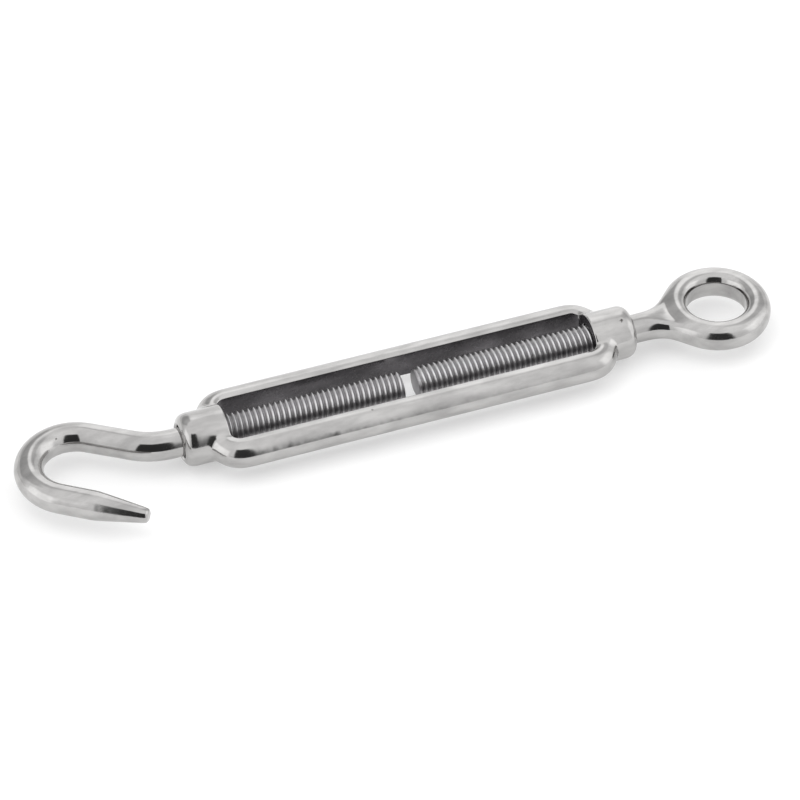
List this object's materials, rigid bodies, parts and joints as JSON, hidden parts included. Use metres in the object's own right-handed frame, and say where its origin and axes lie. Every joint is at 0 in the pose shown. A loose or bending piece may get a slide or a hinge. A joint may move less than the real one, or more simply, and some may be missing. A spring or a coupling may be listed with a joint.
{
  "type": "turnbuckle",
  "caption": "Open-body rigging turnbuckle with a hook end and an eye end on opposite-hand threads, for tensioning wire and rope.",
  "frame": {"origin": "middle of the body, on the screw axis, halfway between the two bosses", "axes": "+X along the screw axis towards the eye, with the hook at -X; +Z square to the plane of the body's two rails; +Y towards the side the hook's neck bends to, away from its tip"},
  "size_m": [0.1433, 0.0275, 0.0098],
  "materials": {
    "polished_casting": "mirror-polished stainless steel, duller inside the window",
    "polished_hook": "mirror-polished stainless steel, rolled thread",
    "polished_eye": "mirror-polished stainless steel, rolled thread"
  },
  "bodies": {
    "body": {"frame": "polished_casting"},
    "hook": {"hook_bolt": "polished_hook"},
    "eye": {"eye_bolt": "polished_eye"}
  },
  "joints": [
    {"name": "hook_travel", "type": "slide", "parent": "body", "child": "hook", "axis": [-1, 0, 0], "range_m": [-0.001, 0.032]},
    {"name": "eye_travel", "type": "slide", "parent": "body", "child": "eye", "axis": [1, 0, 0], "range_m": [-0.001, 0.032]}
  ],
  "couplings": [
    {"joint": "eye_travel", "follows": "hook_travel", "ratio": 1}
  ]
}
